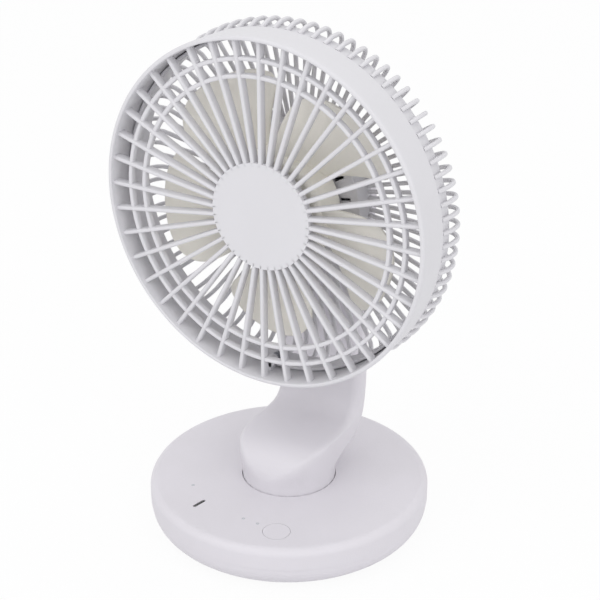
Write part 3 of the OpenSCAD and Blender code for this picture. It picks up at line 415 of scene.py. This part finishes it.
def makeBarTree():  # sweeps a rounded bar along the drawn path, then repeats it about the axis
    tree, source, out = newTree("grilleBars", [
        ("Count", "NodeSocketInt", 40), ("Start Angle", "NodeSocketFloat", 0.0), ("Bar Width", "NodeSocketFloat", 0.0023),
        ("Bar Depth", "NodeSocketFloat", 0.0023), ("Edge Round", "NodeSocketFloat", 0.0008),
        ("Bend Round", "NodeSocketFloat", 0.006), ("Finish", "NodeSocketMaterial", None)])
    path = addNode(tree, "GeometryNodeMeshToCurve")
    bend = addNode(tree, "GeometryNodeFilletCurve", {"Count": 7}, mode="POLY")
    section = addNode(tree, "GeometryNodeCurvePrimitiveQuadrilateral")
    edges = addNode(tree, "GeometryNodeFilletCurve", {"Count": 3}, mode="POLY")
    sweep = addNode(tree, "GeometryNodeCurveToMesh", {"Fill Caps": True})
    smooth = addNode(tree, "GeometryNodeSetShadeSmooth")
    wireUp(tree, (source.outputs[0], path.inputs["Mesh"]), (path.outputs[0], bend.inputs["Curve"]),
           (source.outputs["Bend Round"], bend.inputs["Radius"]), (source.outputs["Bar Depth"], section.inputs["Height"]),
           (source.outputs["Bar Width"], section.inputs["Width"]), (section.outputs[0], edges.inputs["Curve"]),
           (source.outputs["Edge Round"], edges.inputs["Radius"]), (bend.outputs[0], sweep.inputs["Curve"]),
           (edges.outputs[0], sweep.inputs["Profile Curve"]), (sweep.outputs[0], smooth.inputs[0]))
    wireUp(tree, (addRing(tree, source, smooth.outputs[0]), out.inputs[0]))
    return tree


def makeRepeatTree():  # repeats the drawn shape about the axis
    tree, source, out = newTree("shapeRing", [
        ("Count", "NodeSocketInt", 5), ("Start Angle", "NodeSocketFloat", 0.0), ("Finish", "NodeSocketMaterial", None)])
    wireUp(tree, (addRing(tree, source, source.outputs[0]), out.inputs[0]))
    return tree


def growWith(tree, obj, **values):
    modifier = obj.modifiers.new("grow", "NODES")
    modifier.node_group = tree
    named = {item.name: item.identifier for item in tree.interface.items_tree if item.in_out == "INPUT"}
    for label, value in values.items():
        modifier[named[label]] = value
    obj.update_tag()
    return applyModifiers(obj)


barTree, repeatTree = makeBarTree(), makeRepeatTree()


def drawPath(name, spots):
    mesh = bpy.data.meshes.new(name)
    mesh.from_pydata([(r / 1000, 0, d / 1000) for r, d in spots], [(i, i + 1) for i in range(len(spots) - 1)], [])
    obj = bpy.data.objects.new(name, mesh)
    bpy.context.collection.objects.link(obj)
    return obj


# ---------- head: drawn with the axis along z and depth backwards from the front rim, then laid over ----------

headPlace = {
    "axisZ": joints["fan_spin"]["pos_m"][2],
    "rimY": -0.0286,
}
headTurn = Matrix.Translation((0, headPlace["rimY"], headPlace["axisZ"])) @ Matrix.Rotation(math.radians(-90), 4, "X")


def layOver(obj, body, *replaced):
    obj.data.transform(headTurn)
    obj.data.update()
    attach(obj, body)
    if replaced:
        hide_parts(*replaced)
    return obj


frontGrilleSizes = {
    "rimRadius": 96.7, "hoopBackRadius": 95.8, "hoopWall": 2.4, "hoopDepth": 22.0, "lip": 1.0,
    "ribCount": 40, "ribWidth": 2.3, "ribDepth": 5.5, "ribFront": 1.4, "ribEdge": 1.0,
    "rings": (75.0, 84.0), "ringWidth": 2.3, "ringFront": 2.2, "ringDepth": 4.0, "ringEdge": 0.9,
    "hubRadius": 28.7, "hubBack": 7.5, "discBack": 3.4,
}


def makeFrontGrille(s):
    inner = s["rimRadius"] - s["hoopWall"]
    hoop = arcPoints((s["rimRadius"] - 1.5, -s["lip"] + 1.5), 1.5, 350, 270, 6)
    hoop += arcPoints((inner + 0.7, -s["lip"] + 0.7), 0.7, 270, 180, 5)
    hoop += [(inner, s["ribFront"] + 3), (s["hoopBackRadius"] - s["hoopWall"], s["hoopDepth"] - 0.4),
             (s["hoopBackRadius"] - s["hoopWall"] + 0.4, s["hoopDepth"]), (s["hoopBackRadius"] - 0.5, s["hoopDepth"]),
             (s["hoopBackRadius"], s["hoopDepth"] - 0.5), (s["rimRadius"] - 0.35, 9.0), (s["rimRadius"], 2.0)]
    parts = [latheMesh("hoop", hoop[::-1], 240)]
    for radius in s["rings"]:
        half, front, back = s["ringWidth"] / 2, s["ringFront"], s["ringFront"] + s["ringDepth"]
        box = [(radius - half, front), (radius + half, front), (radius + half, back), (radius - half, back)]
        parts.append(latheMesh("ring", softOutline(box, s["ringEdge"], 3), 200))
    hub = [(20.0, s["discBack"]), (s["hubRadius"], s["discBack"]), (s["hubRadius"], s["hubBack"]), (20.0, s["hubBack"])]
    parts.append(latheMesh("hubRing", softOutline(hub, 0.4, 2), 96))
    middle = s["ribFront"] + s["ribDepth"] / 2
    path = drawPath("ribPath", [(s["hubRadius"] - 1, middle), (inner + 0.8, middle)])
    parts.append(growWith(barTree, path, **{
        "Count": s["ribCount"], "Bar Width": s["ribWidth"] / 1000, "Bar Depth": s["ribDepth"] / 1000,
        "Edge Round": s["ribEdge"] / 1000, "Finish": finishes["grillePlastic"]}))
    lug = makeRod("lug", 3.0, 4.6, Matrix.Identity(4), (0, s["rimRadius"] - 8, 11.3))
    web = makeBox("lugWeb", (-1, s["rimRadius"] - 8, 9), (1, inner + 0.5, 13.6))
    grille = joinObjects("frontGrille", parts + [lug, web])
    grille.data.materials.clear()
    grille.data.materials.append(finishes["grillePlastic"])
    for face in grille.data.polygons:
        face.material_index = 0
    return layOver(grille, "head", "front_grille")


makeFrontGrille(frontGrilleSizes)
print("front grille ready")

rearGrilleSizes = {
    "count": 80, "barWidth": 2.3, "barDepth": 2.4, "barEdge": 0.95, "outRadius": 98.0, "back": 43.4, "bend": 7.8,
    "startRadius": 94.6, "startDepth": 22.7, "bulgeDepth": 29.5, "rootRadius": 41.0, "dish": 1.5,
    "ringRadius": 93.1, "ringFront": 14.0, "hoopBack": 22.3, "band": 31.5,
    "cupRadius": 42.0, "cupFront": 32.5, "cupWall": 2.2, "cupBack": 45.4, "cupBore": 12.5,
    "slots": 18, "slotLow": 30.0, "slotHigh": 37.0, "slotWidth": 1.8, "holes": 24, "holeRing": 24.5,
}


def makeRearGrille(s):
    half = s["barDepth"] / 2
    outer = s["outRadius"] - half
    path = drawPath("spokePath", [(s["rootRadius"], s["back"] + s["dish"] - half), (outer, s["back"] - half),
                                  (outer, s["bulgeDepth"]), (s["startRadius"], s["startDepth"])])
    spokes = growWith(barTree, path, **{
        "Count": s["count"], "Start Angle": math.pi / s["count"], "Bar Width": s["barWidth"] / 1000,
        "Bar Depth": s["barDepth"] / 1000, "Edge Round": s["barEdge"] / 1000, "Bend Round": s["bend"] / 1000,
        "Finish": finishes["grillePlastic"]})
    r = s["ringRadius"]
    band = [(r - 1.8, s["ringFront"]), (r, s["ringFront"]), (r, s["hoopBack"]), (r + 1.4, s["hoopBack"] + 0.2),
            (r + 1.4, s["band"]), (r - 0.4, s["band"]), (r - 0.4, s["hoopBack"] + 2), (r - 1.8, s["hoopBack"])]
    cup = [(s["cupBore"], s["cupFront"]), (s["cupRadius"], s["cupFront"]), (s["cupRadius"], s["cupBack"]),
           (s["cupRadius"] - s["cupWall"], s["cupBack"]), (s["cupRadius"] - s["cupWall"], s["cupFront"] + s["cupWall"]),
           (s["cupBore"], s["cupFront"] + s["cupWall"])]
    cupShape = latheMesh("motorCup", softOutline(cup, 1.0, 4), 128)
    slotBar = makeBox("slotCutter", (s["slotLow"], -s["slotWidth"] / 2, s["cupFront"] - 2), (s["slotHigh"], s["slotWidth"] / 2, s["cupFront"] + 6))
    slotBars = growWith(repeatTree, slotBar, **{"Count": s["slots"], "Start Angle": math.radians(10), "Finish": finishes["grillePlastic"]})
    cutAway(cupShape, [slotBars])
    bosses = makeRod("boss", 3.4, 8.0, Matrix.Identity(4), (34.5, 0, s["cupFront"] + 5.1))
    bosses = growWith(repeatTree, bosses, **{"Count": 4, "Start Angle": math.radians(45), "Finish": finishes["grillePlastic"]})
    parts = [spokes, latheMesh("band", softOutline(band, 0.7, 3), 200), cupShape, bosses]
    grille = joinObjects("rearGrille", parts)
    grille.data.materials.clear()
    grille.data.materials.append(finishes["grillePlastic"])
    for face in grille.data.polygons:
        face.material_index = 0
    return layOver(grille, "head", "rear_grille")


makeRearGrille(rearGrilleSizes)
print("rear grille ready")

impellerSizes = {
    "bladeCount": 5, "bladeRadius": 74.0, "rootRadius": 31.0, "rows": 26, "columns": 26, "thickness": 1.6,
    "rootAngle": 61.5, "tipAngle": 46.5, "rootWidth": 50.0, "tipWidth": 57.0, "middle": 20.0, "halfDepth": 8.2,
    "hubRadius": 32.0, "hubFront": 10.5, "hubBack": 30.0, "hubWall": 2.0, "bore": 2.02,
}


def bladePoint(s, along, across, side):
    width = (s["rootWidth"] + (s["tipWidth"] - s["rootWidth"]) * math.sqrt(along)) * (1 - 0.22 * along ** 8)
    angle = -math.radians(s["rootAngle"] + (s["tipAngle"] - s["rootAngle"]) * along + across * width / 2)
    radius = s["rootRadius"] + (s["bladeRadius"] - s["rootRadius"]) * along - 3.5 * along ** 2 * across ** 4
    rim = max(abs(across), 2 * along - 1)
    half = s["thickness"] / 2 * math.sqrt(max(0.0, 1 - max(0.0, (rim - 0.965) / 0.035) ** 2) * 0.94 + 0.06)
    depth = s["middle"] - s["halfDepth"] * (1 - 0.25 * along) * across - 1.5 * (1 - across * across) + side * half
    return (radius * math.cos(angle) / 1000, radius * math.sin(angle) / 1000, depth / 1000)


def spreadSteps(count, low, high, closed):
    steps = [low + (high - low) * i / count for i in range(count + 1)]
    edge = [high - 0.035 * k for k in (0.66, 0.33, 0.1)]
    near = [low + 0.035 * k for k in (0.1, 0.33, 0.66)] if closed else []
    return sorted(set(steps + edge + near))


def makeImpeller(s):
    rows = spreadSteps(s["rows"], 0.0, 1.0, False)
    columns = spreadSteps(s["columns"], -1.0, 1.0, True)
    wide, tall = len(columns), len(rows)
    points = [bladePoint(s, a, c, side) for side in (-1, 1) for a in rows for c in columns]
    faces = []
    for i in range(tall - 1):
        for j in range(wide - 1):
            a = i * wide + j
            front = (a, a + 1, a + wide + 1, a + wide)
            faces += [front, tuple(v + tall * wide for v in front[::-1])]
    border = [i * wide for i in range(tall)] + [(tall - 1) * wide + j for j in range(1, wide)]
    border += [i * wide + wide - 1 for i in range(tall - 2, -1, -1)] + list(range(wide - 2, 0, -1))
    for a, b in zip(border, border[1:] + border[:1]):
        faces.append((a, b, b + tall * wide, a + tall * wide))
    blade = makeObject("blade", points, faces)
    tidyMesh(blade, 60)
    blades = growWith(repeatTree, blade, **{"Count": s["bladeCount"], "Finish": finishes["bladePlastic"]})
    r, front, back, wall = s["hubRadius"], s["hubFront"], s["hubBack"], s["hubWall"]
    hub = [(s["bore"], front), (r - 4, front)] + arcPoints((r - 4, front + 4), 4, 275, 360, 8)
    hub += [(r, back - 0.4), (r - 0.4, back), (r - wall + 0.4, back), (r - wall, back - 0.4), (r - wall, front + 4),
            (r - 4, front + wall), (s["bore"], front + wall)]
    impeller = joinObjects("impellerBlades", [blades, latheMesh("hub", hub[::-1], 144)])
    impeller.data.materials.clear()
    impeller.data.materials.append(finishes["bladePlastic"])
    for face in impeller.data.polygons:
        face.material_index = 0
    return layOver(impeller, "rotor", "impeller")


makeImpeller(impellerSizes)
print("impeller ready")

# ---------- neck: the moulded skins with their blends shaded smooth ----------

neckSkins = {
    "frontShell": {"node": "neck_shell", "sharp": 32.0},
    "backCover": {"node": "neck_cover", "sharp": 32.0},
}


def makeNeckSkin(name, spec):
    source = nodes[spec["node"]]
    mesh = source.data.copy()
    mesh.transform(source.matrix_world)
    skin = bpy.data.objects.new(name, mesh)
    bpy.context.collection.objects.link(skin)
    tidyMesh(skin, spec["sharp"])
    even = skin.modifiers.new("evenShading", "WEIGHTED_NORMAL")
    even.keep_sharp = True
    applyModifiers(skin)
    mesh = skin.data
    mesh.materials.clear()
    mesh.materials.append(finishes["shellPlastic"])
    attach(skin, "neck")
    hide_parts(spec["node"])


for name, spec in neckSkins.items():
    makeNeckSkin(name, spec)
print("neck ready")
